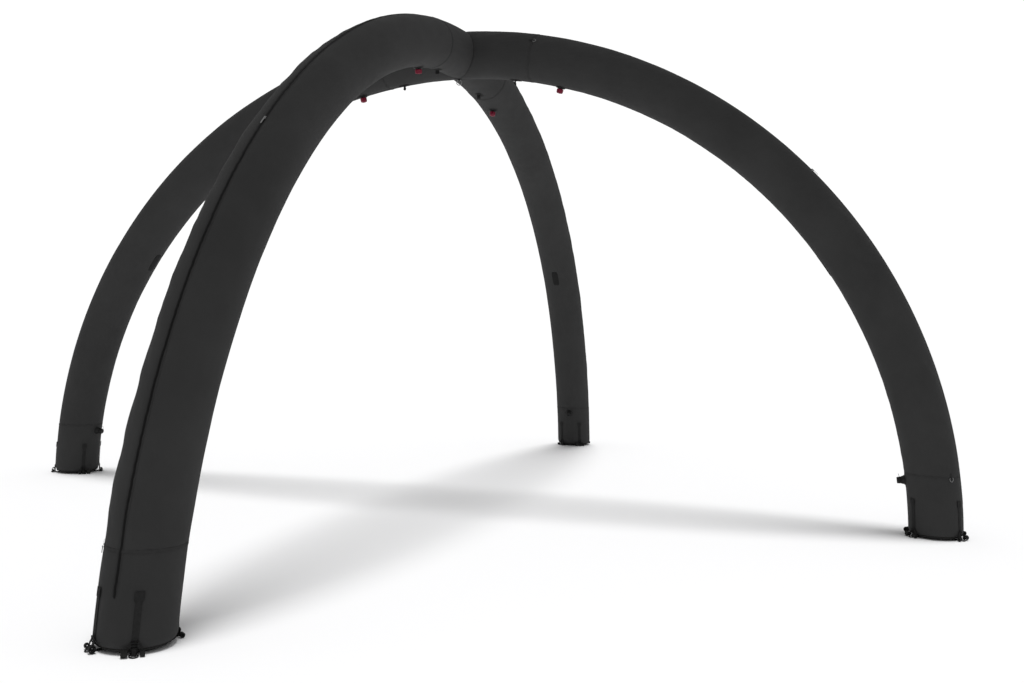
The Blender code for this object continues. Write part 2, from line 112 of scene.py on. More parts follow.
class Leg:
    """Half of an arch, as in the CAD model."""

    def __init__(self, name, azimuth, half_span, seed):
        self.name = name
        self.seed = seed
        self.out = Vector((cos(radians(azimuth)), sin(radians(azimuth)), 0))
        self.side = UP.cross(self.out)
        self.radius = (half_span**2 + CROWN_HEIGHT**2) / (2 * CROWN_HEIGHT)
        self.centre_height = CROWN_HEIGHT - self.radius

    def at_height(self, height):
        return asin((height - self.centre_height) / self.radius)

    def from_crown(self, reach):
        return pi / 2 - reach / self.radius

    def from_ground(self, rise):
        return self.at_height(0) + rise / self.radius

    def rise(self, angle):
        """Distance along the arch from the ground."""
        return (angle - self.at_height(0)) * self.radius

    def reach(self, angle):
        """Distance along the arch from the crown."""
        return (pi / 2 - angle) * self.radius

    def centre(self, angle):
        flat = self.out * (self.radius * cos(angle))
        return flat + UP * (self.centre_height + self.radius * sin(angle))

    def square(self, angle):
        return self.out * cos(angle) + UP * sin(angle)

    def normal(self, angle):
        height = self.centre(angle).z
        turned = min(max((height - SEAM_HEIGHT) / (TURN_HEIGHT - SEAM_HEIGHT), 0), 1)
        return self.square(angle * turned)

    def outward(self, angle, turn):
        return cos(radians(turn)) * self.normal(angle) + sin(radians(turn)) * self.side

    def point(self, angle, turn, radius):
        """A point at radius from the centreline. 0 degrees is the outer ridge, 180 the inner one."""
        return self.centre(angle) + radius * self.outward(angle, turn)

    def upward(self, angle):
        """Along the arch, towards the crown."""
        return UP * cos(angle) - self.out * sin(angle)


WIDE = NOMINAL_HALF_SPAN * (1 + ARCH_SPREAD)
NARROW = NOMINAL_HALF_SPAN * (1 - ARCH_SPREAD)
LEGS = (
    Leg("front_left", 225, WIDE, 3.1),
    Leg("front_right", 315, NARROW, 17.7),
    Leg("back_right", 45, WIDE, 31.3),
    Leg("back_left", 135, NARROW, 47.9),
)


# ---- Camera ----


def add_camera():
    """Eye height, in front of the frame and to its left."""
    azimuth = radians(CAMERA_AZIMUTH)
    flat = cos(CAMERA_PITCH)
    forward = Vector((flat * cos(azimuth), flat * sin(azimuth), sin(CAMERA_PITCH)))
    level = Vector((sin(azimuth), -cos(azimuth), 0))
    above = level.cross(forward)
    right = cos(CAMERA_ROLL) * level + sin(CAMERA_ROLL) * above
    up = cos(CAMERA_ROLL) * above - sin(CAMERA_ROLL) * level
    data = bpy.data.cameras.new("camera")
    data.lens = CAMERA_LENS
    data.sensor_width = 36
    data.clip_end = 500
    made = bpy.data.objects.new("camera", data)
    turned = Matrix((right, up, -forward)).transposed().to_4x4()
    made.matrix_world = Matrix.Translation(CAMERA_PLACE) @ turned
    bpy.context.collection.objects.link(made)
    bpy.context.scene.camera = made


# ---- Mesh tools ----


class Shape:
    """Gathers points and faces of one piece, in world places."""

    def __init__(self):
        self.points = []
        self.faces = []

    def add(self, points, faces):
        first = len(self.points)
        self.points.extend(points)
        self.faces.extend(tuple(first + i for i in face) for face in faces)

    def skin(self, rings, endless=False, capped=True):
        """A surface over a row of closed rings with equally many points."""
        count = len(rings[0])
        points = [point for ring in rings for point in ring]
        faces = []
        rows = len(rings)
        for row in range(rows if endless else rows - 1):
            low = row * count
            high = (row + 1) % rows * count
            for i in range(count):
                j = (i + 1) % count
                faces.append((low + i, low + j, high + j, high + i))
        if capped and not endless:
            faces.append(tuple(range(count)))
            faces.append(tuple(range((rows - 1) * count, rows * count)))
        self.add(points, faces)

    def box(self, middle, along, across, out, length, width, height):
        """A small block on a surface, with its base at middle."""
        rings = []
        for x in (-length / 2, length / 2):
            base = middle + along * x
            rings.append(
                [
                    base - across * (width / 2),
                    base + across * (width / 2),
                    base + across * (width * 0.36) + out * height,
                    base - across * (width * 0.36) + out * height,
                ]
            )
        self.skin(rings)

    def finish(self, name, surface, body, replaced=(), sharp=40):
        mesh = bpy.data.meshes.new(name)
        mesh.from_pydata(self.points, [], self.faces)
        made = bmesh.new()
        made.from_mesh(mesh)
        bmesh.ops.recalc_face_normals(made, faces=made.faces)
        made.to_mesh(mesh)
        made.free()
        mesh.materials.append(surface)
        mesh.shade_smooth()
        mesh.set_sharp_from_angle(angle=radians(sharp))
        obj = bpy.data.objects.new(name, mesh)
        bpy.context.collection.objects.link(obj)
        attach(obj, body)
        if replaced:
            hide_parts(*replaced)
        return obj


def spaced(first, last, steps):
    return [first + (last - first) * i / steps for i in range(steps + 1)]


def frame_matrix(place, forward, outward):
    """Local X along forward and local Z along outward, with its origin at place."""
    z_axis = outward.normalized()
    y_axis = z_axis.cross(forward).normalized()
    x_axis = y_axis.cross(z_axis)
    return Matrix.Translation(place) @ Matrix((x_axis, y_axis, z_axis)).transposed().to_4x4()


def turned_rings(matrix, profile, sides, lobes=0, depth=0.0):
    """Rings about local Z through the profile's (radius, height) points."""
    rings = []
    for radius, height in profile:
        ring = []
        for i in range(sides):
            turn = 2 * pi * i / sides
            reach = radius + depth * cos(lobes * turn)
            ring.append(matrix @ Vector((reach * cos(turn), reach * sin(turn), height)))
        rings.append(ring)
    return rings


def wire_rings(path, radius, sides, endless):
    """Rings of a round wire along a path, kept from twisting."""
    rings = []
    count = len(path)
    across = None
    for i, point in enumerate(path):
        if endless:
            along = (path[(i + 1) % count] - path[i - 1]).normalized()
        else:
            along = (path[min(i + 1, count - 1)] - path[max(i - 1, 0)]).normalized()
        across = along.orthogonal() if across is None else across - along * across.dot(along)
        across.normalize()
        other = along.cross(across)
        ring = []
        for k in range(sides):
            turn = 2 * pi * k / sides
            ring.append(point + radius * (cos(turn) * across + sin(turn) * other))
        rings.append(ring)
    return rings


def band_rings(path, across, width, thickness):
    """Rings of a flat band along a path that lies square to across, with softened edges."""
    rings = []
    count = len(path)
    for i, point in enumerate(path):
        along = (path[min(i + 1, count - 1)] - path[max(i - 1, 0)]).normalized()
        out = along.cross(across).normalized()
        half = width / 2
        edge = half - thickness * 0.45
        thick = thickness / 2
        ring = [
            point - across * half,
            point - across * edge - out * thick,
            point - out * thick,
            point + across * edge - out * thick,
            point + across * half,
            point + across * edge + out * thick,
            point + out * thick,
            point - across * edge + out * thick,
        ]
        rings.append(ring)
    return rings


# ---- Materials ----


def new_material(name, colour, roughness, metallic=0.0, specular=0.5):
    made = bpy.data.materials.new(name)
    made.use_nodes = True
    shader = made.node_tree.nodes["Principled BSDF"]
    shader.inputs["Base Color"].default_value = (*colour, 1)
    shader.inputs["Roughness"].default_value = roughness
    shader.inputs["Metallic"].default_value = metallic
    shader.inputs["Specular IOR Level"].default_value = specular
    return made, made.node_tree, shader


def math_node(tree, operation, first, second=None):
    node = tree.nodes.new("ShaderNodeMath")
    node.operation = operation
    for i, value in enumerate((first, second)):
        if value is None:
            continue
        if isinstance(value, (int, float)):
            node.inputs[i].default_value = value
        else:
            tree.links.new(value, node.inputs[i])
    return node.outputs[0]


def noise_node(tree, place, scale, detail=2.0, roughness=0.5):
    node = tree.nodes.new("ShaderNodeTexNoise")
    node.inputs["Scale"].default_value = scale
    node.inputs["Detail"].default_value = detail
    node.inputs["Roughness"].default_value = roughness
    tree.links.new(place, node.inputs["Vector"])
    return node.outputs["Fac"]


def turned_place(tree):
    """Object coordinates turned by 45 degrees, so that X and Y lie along the arches."""
    source = tree.nodes.new("ShaderNodeTexCoord")
    mapping = tree.nodes.new("ShaderNodeMapping")
    mapping.inputs["Rotation"].default_value = (0, 0, radians(45))
    tree.links.new(source.outputs["Object"], mapping.inputs["Vector"])
    return mapping.outputs["Vector"]


def weave_height(tree, place, pitch):
    """A plain weave: a fine lattice of thread crossings in all three directions."""
    split = tree.nodes.new("ShaderNodeSeparateXYZ")
    tree.links.new(place, split.inputs[0])
    waves = []
    for axis in range(3):
        angle = math_node(tree, "MULTIPLY", split.outputs[axis], 2 * pi / pitch)
        waves.append(math_node(tree, "SINE", angle))
    first = math_node(tree, "MULTIPLY", waves[0], waves[2])
    second = math_node(tree, "MULTIPLY", waves[1], waves[2])
    third = math_node(tree, "MULTIPLY", waves[0], waves[1])
    return math_node(tree, "ADD", math_node(tree, "ADD", first, second), third)


def bump_node(tree, height, strength, distance, before=None):
    node = tree.nodes.new("ShaderNodeBump")
    node.inputs["Strength"].default_value = strength
    node.inputs["Distance"].default_value = distance
    tree.links.new(height, node.inputs["Height"])
    if before is not None:
        tree.links.new(before, node.inputs["Normal"])
    return node.outputs["Normal"]


def ramp_node(tree, factor, low, high, start=0.3, end=0.7):
    node = tree.nodes.new("ShaderNodeValToRGB")
    node.color_ramp.elements[0].position = start
    node.color_ramp.elements[0].color = (*low, 1)
    node.color_ramp.elements[1].position = end
    node.color_ramp.elements[1].color = (*high, 1)
    tree.links.new(factor, node.inputs["Fac"])
    return node.outputs["Color"]


def cloth(name, low, high, pitch, roughness, sheen, creases):
    """Woven cloth: two close shades in soft clouds, thread relief with painted shade in the hollows
    between threads, fine creases, dust and slight sheen.
    """
    made, tree, shader = new_material(name, low, roughness, specular=0.12)
    place = turned_place(tree)
    clouds = noise_node(tree, place, 2.3, 4, 0.6)
    threads = weave_height(tree, place, pitch)
    colour = ramp_node(tree, clouds, low, high)
    # Painted shade: the colour is multiplied darker where the weave dips, in the hollows between the
    # threads.
    fine_texture = tree.nodes.new("ShaderNodeMixRGB")
    fine_texture.blend_type = "MULTIPLY"
    fine_texture.inputs["Fac"].default_value = 0.5
    painted_weave_shade = ramp_node(tree, threads, (0.72, 0.72, 0.72), (1, 1, 1), 0.0, 1.0)
    tree.links.new(colour, fine_texture.inputs["Color1"])
    tree.links.new(painted_weave_shade, fine_texture.inputs["Color2"])
    tree.links.new(fine_texture.outputs["Color"], shader.inputs["Base Color"])
    rough = math_node(tree, "MULTIPLY", noise_node(tree, place, 9.0, 3), 0.22)
    tree.links.new(math_node(tree, "ADD", rough, roughness - 0.11), shader.inputs["Roughness"])
    soft = bump_node(tree, noise_node(tree, place, 5.0, 3, 0.55), creases, 0.010)
    fine = bump_node(tree, noise_node(tree, place, 34.0, 3, 0.6), creases * 0.6, 0.0016, soft)
    tree.links.new(bump_node(tree, threads, 0.35, 0.00035, fine), shader.inputs["Normal"])
    shader.inputs["Sheen Weight"].default_value = sheen
    shader.inputs["Sheen Roughness"].default_value = 0.45
    return made


def ribbed_webbing(name, low, high):
    """Webbing: tight ribs across its length, worn lighter in patches."""
    made, tree, shader = new_material(name, low, 0.8, specular=0.12)
    place = turned_place(tree)
    ribs = weave_height(tree, place, 0.0032)
    worn = noise_node(tree, place, 60.0, 3, 0.6)
    tree.links.new(ramp_node(tree, worn, low, high), shader.inputs["Base Color"])
    rough = bump_node(tree, worn, 0.2, 0.0008)
    tree.links.new(bump_node(tree, ribs, 0.6, 0.0005, rough), shader.inputs["Normal"])
    return made


def moulded(name, low, high, roughness):
    """Moulded plastic: faint texture, scuffs that change the gloss, and slightly uneven colour."""
    made, tree, shader = new_material(name, low, roughness, specular=0.2)
    place = turned_place(tree)
    scuffs = noise_node(tree, place, 120.0, 5, 0.7)
    tree.links.new(ramp_node(tree, scuffs, low, high), shader.inputs["Base Color"])
    gloss = math_node(tree, "MULTIPLY", scuffs, 0.25)
    tree.links.new(math_node(tree, "ADD", gloss, roughness - 0.12), shader.inputs["Roughness"])
    fine_texture = noise_node(tree, place, 900.0, 2)
    tree.links.new(bump_node(tree, fine_texture, 0.25, 0.0002), shader.inputs["Normal"])
    return made


def worn_metal(name, low, high, roughness, metallic):
    """Metal with fine scratches and a duller, patchy finish."""
    made, tree, shader = new_material(name, low, roughness, metallic)
    place = turned_place(tree)
    patches = noise_node(tree, place, 140.0, 4, 0.65)
    tree.links.new(ramp_node(tree, patches, low, high), shader.inputs["Base Color"])
    gloss = math_node(tree, "MULTIPLY", patches, 0.3)
    tree.links.new(math_node(tree, "ADD", gloss, roughness - 0.15), shader.inputs["Roughness"])
    scratches = noise_node(tree, place, 1400.0, 2)
    tree.links.new(bump_node(tree, scratches, 0.15, 0.0001), shader.inputs["Normal"])
    return made


def grey(low, high):
    """Two neutral shades."""
    return (low, low, low), (high, high, high)


def make_surfaces():
    return {
        "sleeve": cloth("sleeve_cloth", *grey(0.0345, 0.0420), 0.0016, 0.84, 0.02, 0.10),
        "cup": cloth("cup_cloth", *grey(0.0338, 0.0394), 0.0024, 0.76, 0.0, 0.14),
        "binding": cloth("binding_tape", *grey(0.0115, 0.0165), 0.0012, 0.80, 0.0, 0.10),
        "seam": cloth("seam_tape", *grey(0.0320, 0.0380), 0.0012, 0.80, 0.0, 0.10),
        "webbing": ribbed_webbing("strap_webbing", *grey(0.0168, 0.0232)),
        "thread": moulded("thread", *grey(0.0235, 0.0295), 0.80),
        "zip_tape": cloth("zip_tape", *grey(0.0325, 0.0375), 0.0010, 0.82, 0.0, 0.05),
        "teeth": moulded("zip_teeth", *grey(0.0012, 0.0030), 0.60),
        "metal": worn_metal("dull_metal", *grey(0.20, 0.34), 0.48, 1.0),
        "dark_metal": worn_metal("black_coated_metal", *grey(0.006, 0.014), 0.50, 0.3),
        "plastic": moulded("black_plastic", *grey(0.0050, 0.0090), 0.48),
        "liner": moulded("clear_liner", (0.50, 0.52, 0.53), (0.58, 0.60, 0.61), 0.35),
        "red": moulded("red_plastic", (0.125, 0.003, 0.017), (0.185, 0.006, 0.027), 0.42),
    }


# ---- Cloth tubes ----


def cloth_offset(leg, angle, turn):
    """How far the sleeve's cloth stands off its plain tube: slack, puckers, creases and seams."""
    rise = leg.rise(angle)
    reach = leg.reach(angle)
    radian = radians(turn)
    place = Vector((rise * 2.0 + leg.seed, 1.3 * cos(radian), 1.3 * sin(radian)))
    offset = 0.0022 * noise.noise(place) + 0.0009 * noise.noise(place * 3.1)
    # The zip draws the cloth into a shallow valley with small ripples beside it.
    signed = (turn + 180) % 360 - 180
    beside = abs(signed) / 180 * pi * TUBE_RADIUS
    offset -= 0.0026 * exp(-((beside / 0.016) ** 2))
    offset += 0.0010 * exp(-(((beside - 0.030) / 0.012) ** 2))
    ripple = noise.noise(Vector((rise * 21, leg.seed, 2.0 if turn < 180 else 7.0)))
    offset += 0.0014 * exp(-beside / 0.045) * ripple
    # The panel on one side of the zip is slacker: soft folds cross it.
    loose = exp(-(((signed + 48) / 30) ** 2))
    slant = Vector((rise * 5.5 + signed / 40, signed / 60, leg.seed + 2))
    offset += loose * (0.0075 * noise.noise(slant) + 0.0034 * noise.noise(slant * 2.7))
    # On the inside of the bend the cloth is longer than it needs to be, so it wrinkles across.
    inner = max(0.0, -cos(radian)) ** 3
    crosswise = noise.noise(Vector((rise * 17, 1.6 * sin(radian), leg.seed)))
    offset += 0.0013 * inner * crosswise
    # Puckers run away from the ring seams.
    for distance, turns in ((abs(leg.centre(angle).z - SEAM_HEIGHT), 11), (abs(reach - HUB_REACH), 9)):
        lines = noise.noise(Vector((turns * cos(radian), turns * sin(radian), leg.seed + turns)))
        offset += 0.0030 * exp(-distance / 0.060) * lines
        offset -= 0.0016 * exp(-((distance / 0.010) ** 2))
    return offset


def cloth_ring(leg, angle, radius=TUBE_RADIUS):
    turns = [360 * i / AROUND for i in range(AROUND)]
    return [leg.point(angle, turn, radius + cloth_offset(leg, angle, turn)) for turn in turns]


def plain_ring(leg, angle, radius):
    return [leg.point(angle, 360 * i / AROUND, radius) for i in range(AROUND)]


def sleeve_cloth(leg, surfaces):
    low = leg.at_height(SEAM_HEIGHT)
    high = leg.from_crown(HUB_REACH)
    steps = int((high - low) * leg.radius / ALONG_STEP)
    rings = [plain_ring(leg, low, TUBE_RADIUS - TUCK)]
    rings += [cloth_ring(leg, angle) for angle in spaced(low, high, steps)]
    rings.append(plain_ring(leg, high, TUBE_RADIUS - TUCK))
    made = Shape()
    made.skin(rings)
    name = leg.name + "_sleeve_cloth"
    obj = made.finish(name, surfaces["sleeve"], "frame", [leg.name + "_sleeve"])


def cup_offset(leg, height, turn):
    """Slight dents under the straps, puckers at the seam and folds where the wall turns under."""
    radian = radians(turn)
    place = Vector((height * 5 + leg.seed, 1.5 * cos(radian), 1.5 * sin(radian)))
    offset = 0.0016 * noise.noise(place)
    for direction in STRAP_DIRECTIONS:
        beside = abs((turn - direction + 180) % 360 - 180) / 180 * pi * TUBE_RADIUS
        if height < WEBBING_TOP:
            offset -= 0.0016 * exp(-((beside / 0.022) ** 2))
    around = Vector((6 * cos(radian), 6 * sin(radian), leg.seed + 5))
    offset += 0.0022 * exp(-max(0.0, height - 0.02) / 0.050) * noise.noise(around)
    puckers = Vector((10 * cos(radian), 10 * sin(radian), leg.seed + 9))
    offset += 0.0026 * exp(-(SEAM_HEIGHT - height) / 0.045) * noise.noise(puckers)
    offset -= 0.0016 * exp(-(((SEAM_HEIGHT - height) / 0.010) ** 2))
    return offset


def cup_ring(leg, height, radius):
    angle = leg.at_height(height)
    turns = [360 * i / AROUND for i in range(AROUND)]
    return [leg.point(angle, turn, radius + cup_offset(leg, height, turn)) for turn in turns]


def cup_cloth(leg, surfaces):
    rings = [plain_ring(leg, leg.at_height(CUP_FLOOR), 0.004)]
    for radius in spaced(0.03, TUBE_RADIUS - CUP_EDGE_RADIUS - 0.012, 3):
        rings.append(plain_ring(leg, leg.at_height(CUP_FLOOR), radius))
    for turn in spaced(-pi / 2, 0, 9):
        height = CUP_FLOOR + CUP_EDGE_RADIUS * (1 + sin(turn))
        radius = TUBE_RADIUS - CUP_EDGE_RADIUS * (1 - cos(turn))
        rings.append(cup_ring(leg, height, radius))
    for height in spaced(CUP_FLOOR + CUP_EDGE_RADIUS, SEAM_HEIGHT, 40)[1:]:
        rings.append(cup_ring(leg, height, TUBE_RADIUS))
    rings.append(plain_ring(leg, leg.at_height(SEAM_HEIGHT), TUBE_RADIUS - TUCK))
    made = Shape()
    made.skin(rings)
    name = leg.name + "_cup_cloth"
    obj = made.finish(name, surfaces["cup"], "frame", [leg.name + "_foot_cup"])


def hub_crease(leg, turn):
    """Where this arm's surface meets its neighbour's, at the crown."""
    mean_radius = (LEGS[0].radius + LEGS[1].radius) / 2
    across = TUBE_RADIUS * sin(radians(turn))
    reach = abs(across)
    height = CROWN_HEIGHT + TUBE_RADIUS * cos(radians(turn)) - reach**2 / (2 * mean_radius)
    return leg.out * reach + leg.side * across + UP * height


def hub_cloth(surfaces):
    """The four-way cover: each arm runs from the mitred crease at the crown to its ring seam."""
    made = Shape()
    for leg in LEGS:
        rings = []
        steps = 42
        for step in range(steps + 1):
            share = step / steps
            ring = []
            for i in range(AROUND):
                turn = 360 * i / AROUND
                start = abs(TUBE_RADIUS * sin(radians(turn)))
                reach = start + (HUB_REACH - start) * share
                angle = leg.from_crown(reach)
                offset = cloth_offset(leg, angle, turn) * min(1, (reach - start) / 0.05)
                puckers = noise.noise(Vector((turn / 9, leg.seed, 3)))
                beside = reach - start
                offset += 0.0035 * exp(-beside / 0.05) * (1 - exp(-beside / 0.012)) * puckers
                place = leg.point(angle, turn, TUBE_RADIUS + offset)
                ideal = leg.point(leg.from_crown(start), turn, TUBE_RADIUS)
                ring.append(place + (hub_crease(leg, turn) - ideal) * (1 - share) ** 2)
            rings.append(ring)
        rings.append(plain_ring(leg, leg.from_crown(HUB_REACH), TUBE_RADIUS - TUCK))
        made.skin(rings, capped=False)
    obj = made.finish("hub_cloth", surfaces["sleeve"], "frame", ["hub_sleeve"])


# ---- Seams ----


def seam_band(shape, place, half_width, height):
    """A low raised band round a tube. place(turn, along, out) gives a point."""
    profile = ((-half_width, -0.0015), (-half_width * 0.8, height), (0, height * 1.15))
    profile += ((half_width * 0.8, height), (half_width, -0.0015), (0, -0.0030))
    rings = []
    for i in range(AROUND * 2):
        turn = 360 * i / (AROUND * 2)
        rings.append([place(turn, along, out) for along, out in profile])
    shape.skin(rings, endless=True)


def stitch_round(shape, place, along, height, count):
    """A row of stitches round a tube, at one distance from the seam."""
    for i in range(count):
        turn = 360 * i / count
        middle = place(turn, along, height)
        forward = (place(turn + 1, along, height) - place(turn - 1, along, height)).normalized()
        across = (place(turn, along + 0.01, height) - middle).normalized()
        out = (place(turn, along, height + 0.01) - middle).normalized()
        length = 2 * pi * TUBE_RADIUS / count * 0.62
        shape.box(middle, forward, across, out, length, 0.0011, 0.0007)


def ring_seams(leg, surfaces):
    band = Shape()
    thread = Shape()

    def foot_place(turn, along, out):
        height = SEAM_HEIGHT + along
        angle = leg.at_height(height)
        offset = cup_offset(leg, min(height, SEAM_HEIGHT), turn)
        return leg.point(angle, turn, TUBE_RADIUS + offset + out + 0.0012)

    def hub_place(turn, along, out):
        angle = leg.from_crown(HUB_REACH + along)
        offset = cloth_offset(leg, angle, turn)
        return leg.point(angle, turn, TUBE_RADIUS + offset + out + 0.0012)

    for place in (foot_place, hub_place):
        seam_band(band, place, SEAM_HALF_WIDTH, 0.0012)
        for along in (-SEAM_STITCH_OFFSET, SEAM_STITCH_OFFSET):
            stitch_round(thread, place, along, 0.0010, SEAM_STITCHES)
    band.finish(leg.name + "_seam_tape", surfaces["seam"], "frame")
    thread.finish(leg.name + "_seam_thread", surfaces["thread"], "frame")


def crown_mitre(surfaces):
    """The corded seam that runs round the crown in the creases between the arms."""
    made = Shape()
    for leg in LEGS:
        # The crease between this arm and the next is an arc from the top of the crown to its underside.
        path = [hub_crease(leg, turn) for turn in spaced(1, 179, 60)]
        made.skin(wire_rings(path, 0.0022, 8, endless=False))
    made.finish("crown_mitre_cord", surfaces["binding"], "frame")


# ---- Zips ----


def zip_place(leg, angle, beside, out):
    """A point on the zip: beside is metres from its middle, round the tube."""
    turn = beside / TUBE_RADIUS * 180 / pi
    return leg.point(angle, turn, TUBE_RADIUS + out)


def zip_drift(leg, angle):
    """The line of teeth wanders a little from side to side."""
    rise = leg.rise(angle)
    slow = noise.noise(Vector((rise * 9, leg.seed, 0)))
    quick = noise.noise(Vector((rise * 32, leg.seed, 4)))
    return 0.0030 * slow + 0.0026 * quick


def zip_line(leg, surfaces):
    """Two tapes sewn flat on the cloth, with interlocking teeth between them."""
    low = leg.at_height(ZIP_FOOT_HEIGHT)
    high = leg.from_crown(ZIP_TOP_REACH)
    length = (high - low) * leg.radius
    tape = Shape()
    for side in (-1, 1):
        rings = []
        for angle in spaced(low, high, int(length / TAPE_STEP)):
            profile = ((0.001, -0.0014), (0.001, -0.0004), (0.008, -0.0002))
            profile += ((0.0160, 0.0002), (0.0168, -0.0012), (0.008, -0.0022))
            rings.append([zip_place(leg, angle, side * beside, out) for beside, out in profile])
        tape.skin(rings)
    tape.finish(leg.name + "_zip_tape", surfaces["zip_tape"], "frame", [leg.name + "_zip"])
    teeth = Shape()
    count = int(length / TOOTH_PITCH)
    for i in range(count):
        angle = low + (high - low) * (i + 0.5) / count
        side = 1 if i % 2 else -1
        middle = zip_place(leg, angle, side * 0.0014 + zip_drift(leg, angle), -0.0006)
        out = leg.normal(angle)
        teeth.box(middle, leg.side, leg.upward(angle), out, TOOTH_LENGTH, 0.0031, 0.0028)
    for angle in (low - 0.003 / leg.radius, high + 0.003 / leg.radius):
        stop = zip_place(leg, angle, 0, -0.0004)
        teeth.box(stop, leg.side, leg.upward(angle), leg.normal(angle), 0.0100, 0.0060, 0.0026)
    teeth.finish(leg.name + "_zip_teeth", surfaces["teeth"], "frame")
    thread = Shape()
    count = int(length / ZIP_STITCH_PITCH)
    for i in range(count):
        angle = low + (high - low) * (i + 0.5) / count
        for side in (-1, 1):
            middle = zip_place(leg, angle, side * ZIP_STITCH_OFFSET, 0.0)
            thread.box(middle, leg.upward(angle), leg.side, leg.normal(angle), 0.0048, 0.0008, 0.0004)
    thread.finish(leg.name + "_zip_thread", surfaces["zip_tape"], "frame")


def rounded_plate(shape, matrix, low_x, high_x, width, low_z, high_z, bevel=0.0012):
    """A closed plate with rounded ends in a local frame."""
    half = width / 2
    outline = []
    corner = min(half, 0.004)
    for centre_x, centre_y, start in (
        (high_x - corner, half - corner, 0),
        (low_x + corner, half - corner, 90),
        (low_x + corner, -half + corner, 180),
        (high_x - corner, -half + corner, 270),
    ):
        for step in range(7):
            turn = radians(start + 15 * step)
            outline.append((centre_x + corner * cos(turn), centre_y + corner * sin(turn)))
    middle_x = (low_x + high_x) / 2
    levels = ((low_z, 0.9), (low_z + bevel * 0.5, 1.0), (high_z - bevel * 0.5, 1.0), (high_z, 0.9))
    shape.skin(
        [
            [matrix @ Vector((middle_x + (x - middle_x) * grow, y * grow, z)) for x, y in outline]
            for z, grow in levels
        ]
    )


def zip_slider(leg, surfaces):
    """Slider body with its bridge and a long pull that lies down the zip."""
    angle = leg.from_ground(SLIDER_RISE)
    base = leg.point(angle, 0, TUBE_RADIUS + 0.0032)
    down = -leg.upward(angle)
    matrix = frame_matrix(base, down, leg.normal(angle))
    made = Shape()
    rounded_plate(made, matrix, -0.012, 0.012, 0.014, 0.0000, 0.0028)
    rounded_plate(made, matrix, -0.008, 0.010, 0.0060, 0.0024, 0.0074)
    rounded_plate(made, matrix, 0.006, 0.056, 0.0090, 0.0042, 0.0064)
    name = leg.name + "_zip_slider"
    made.finish(name + "_detail", surfaces["metal"], name, [name])


# ---- Foot straps, rings and buckles ----


def strap_place(leg, direction, distance, height):
    turn = radians(direction)
    outward = cos(turn) * leg.out + sin(turn) * leg.side
    return leg.centre(leg.at_height(height)) + outward * distance


def strap_axes(leg, direction):
    turn = radians(direction)
    outward = cos(turn) * leg.out + sin(turn) * leg.side
    return outward, outward.cross(UP)


def rolled_tail(shape, leg, direction, side, radius, width):
    """A strap's spare end, rolled up on the ground beside the ring, with a short lead from the strap."""
    outward, across = strap_axes(leg, direction)
    aside = across * (side * (ROLL_CLEARANCE + width / 2))
    middle = strap_place(leg, direction, 0.1990 + radius * 0.5, radius + 0.0012) + aside
    path = []
    for turn in spaced(-90, 690, 40):
        shrink = 1 - 0.62 * (turn + 90) / 780
        swing = radians(turn)
        path.append(middle + (outward * cos(swing) + UP * sin(swing)) * (radius * shrink - 0.001))
    shape.skin(band_rings(path, across, width, 0.0026))
    lead = [strap_place(leg, direction, 0.1934, 0.066) + across * (side * 0.008)]
    lead.append(strap_place(leg, direction, 0.1960, 0.048) + across * (side * 0.018))
    lead.append(strap_place(leg, direction, 0.1985, 0.034) + across * (side * 0.029))
    lead.append(middle - outward * (radius * 0.72) + UP * (radius * 0.55))
    shape.skin(band_rings(lead, across, 0.018, 0.0022))


